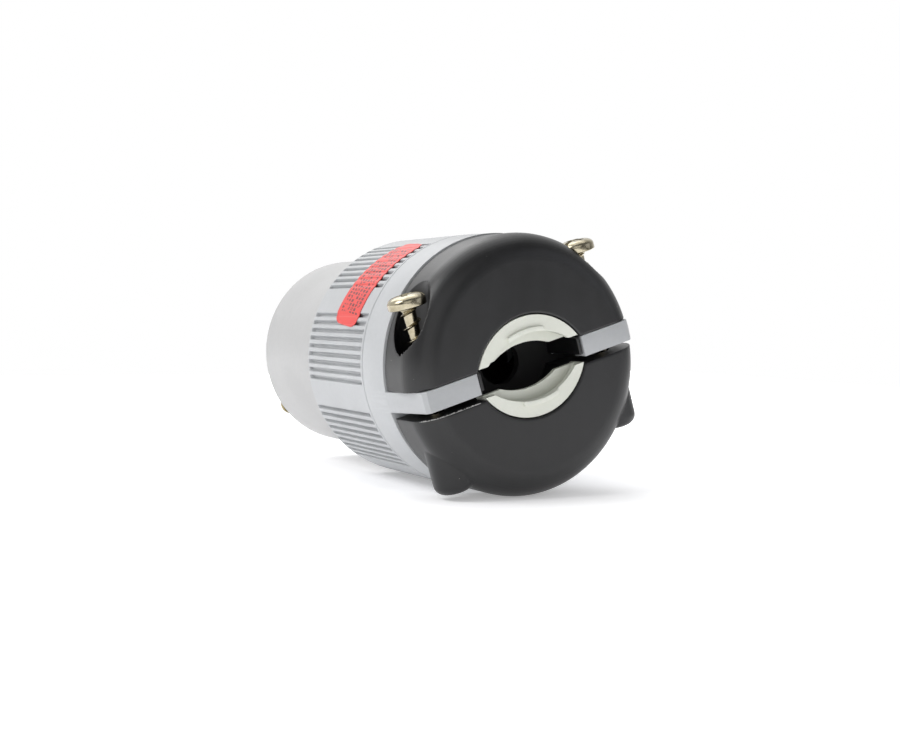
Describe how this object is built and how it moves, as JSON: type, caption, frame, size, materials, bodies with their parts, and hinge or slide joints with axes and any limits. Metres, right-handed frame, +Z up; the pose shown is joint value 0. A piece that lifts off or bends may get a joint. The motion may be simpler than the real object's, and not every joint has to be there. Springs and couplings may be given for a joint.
{
  "type": "twist-lock cord connector",
  "caption": "Round twist-lock female cord connector with a smooth nose, ribbed grip, split black cord clamp and backed-out clamp screws.",
  "frame": {"origin": "centre of the mating face, on the connector's axis", "axes": "+Y out of the mating face along the connector's axis, cord end towards -Y; +Z up with the connector lying at rest, rolled 17.2 degrees about its axis; +X to the right seen from the cord end"},
  "size_m": [0.0624, 0.1109, 0.058],
  "materials": {
    "housing_grey": "satin moulded nylon",
    "nose_grey": "satin moulded nylon",
    "clamp_black": "fine moulded texture",
    "insert_white": "semi-matt moulded nylon",
    "rubber_black": "matt",
    "label_red": "printed film",
    "insulator_black": "moulded thermoset",
    "contact_brass": "stamped",
    "screw_nickel": "bright nickel plate",
    "screw_brass": "dull brass plate",
    "plate_zinc": "zinc plate",
    "terminal_brass": "brass",
    "terminal_silver": "nickel plate",
    "terminal_green": "green finish"
  },
  "bodies": {
    "housing": {"rear_collar": "housing_grey", "grip_shell": "housing_grey", "cord_seal": "rubber_black", "warning_label": "label_red"},
    "front_module": {"nose_shell": "nose_grey", "contact_carrier": "insulator_black", "terminal_block": "insulator_black", "contact_hot_x": "contact_brass", "contact_hot_y": "contact_brass", "contact_neutral": "contact_brass", "contact_ground": "contact_brass"},
    "clamp_top": {"clamp_upper": "clamp_black", "insert_upper": "insert_white"},
    "clamp_bottom": {"clamp_lower": "clamp_black", "insert_lower": "insert_white"},
    "clamp_screw_left": {"clamp_screw_left": "screw_nickel"},
    "clamp_screw_right": {"clamp_screw_right": "screw_nickel"},
    "assembly_screw_a": {"assembly_screw_a": "screw_brass"},
    "assembly_screw_b": {"assembly_screw_b": "screw_brass"},
    "terminal_hot_x": {"terminal_screw_hot_x": "terminal_brass", "pressure_plate_hot_x": "plate_zinc"},
    "terminal_hot_y": {"terminal_screw_hot_y": "terminal_brass", "pressure_plate_hot_y": "plate_zinc"},
    "terminal_neutral": {"terminal_screw_neutral": "terminal_silver", "pressure_plate_neutral": "plate_zinc"},
    "terminal_ground": {"terminal_screw_ground": "terminal_green", "pressure_plate_ground": "plate_zinc"}
  },
  "joints": [
    {"name": "front_module_slide", "type": "slide", "parent": "housing", "child": "front_module", "axis": [0, 1, 0], "range_m": [0, 0.06]},
    {"name": "clamp_top_slide", "type": "slide", "parent": "housing", "child": "clamp_top", "axis": [-0.2957, 0, 0.9553], "range_m": [0, 0.006]},
    {"name": "clamp_bottom_slide", "type": "slide", "parent": "housing", "child": "clamp_bottom", "axis": [-0.2957, 0, 0.9553], "range_m": [-0.006, 0.0012]},
    {"name": "clamp_screw_left_slide", "type": "slide", "parent": "clamp_top", "child": "clamp_screw_left", "axis": [-0.2957, 0, 0.9553], "range_m": [-0.0102, 0.004]},
    {"name": "clamp_screw_right_slide", "type": "slide", "parent": "clamp_top", "child": "clamp_screw_right", "axis": [-0.2957, 0, 0.9553], "range_m": [-0.0102, 0.004]},
    {"name": "assembly_screw_a_slide", "type": "slide", "parent": "front_module", "child": "assembly_screw_a", "axis": [0, 1, 0], "range_m": [-0.0134, 0.02]},
    {"name": "assembly_screw_b_slide", "type": "slide", "parent": "front_module", "child": "assembly_screw_b", "axis": [0, 1, 0], "range_m": [-0.0134, 0.02]},
    {"name": "terminal_hot_x_slide", "type": "slide", "parent": "front_module", "child": "terminal_hot_x", "axis": [-0.0906, 0, 0.9959], "range_m": [-0.0003, 0.003]},
    {"name": "terminal_hot_y_slide", "type": "slide", "parent": "front_module", "child": "terminal_hot_y", "axis": [-0.9959, 0, -0.0906], "range_m": [-0.0003, 0.003]},
    {"name": "terminal_neutral_slide", "type": "slide", "parent": "front_module", "child": "terminal_neutral", "axis": [0.0906, 0, -0.9959], "range_m": [-0.0003, 0.003]},
    {"name": "terminal_ground_slide", "type": "slide", "parent": "front_module", "child": "terminal_ground", "axis": [0.9959, 0, 0.0906], "range_m": [-0.0003, 0.003]}
  ]
}
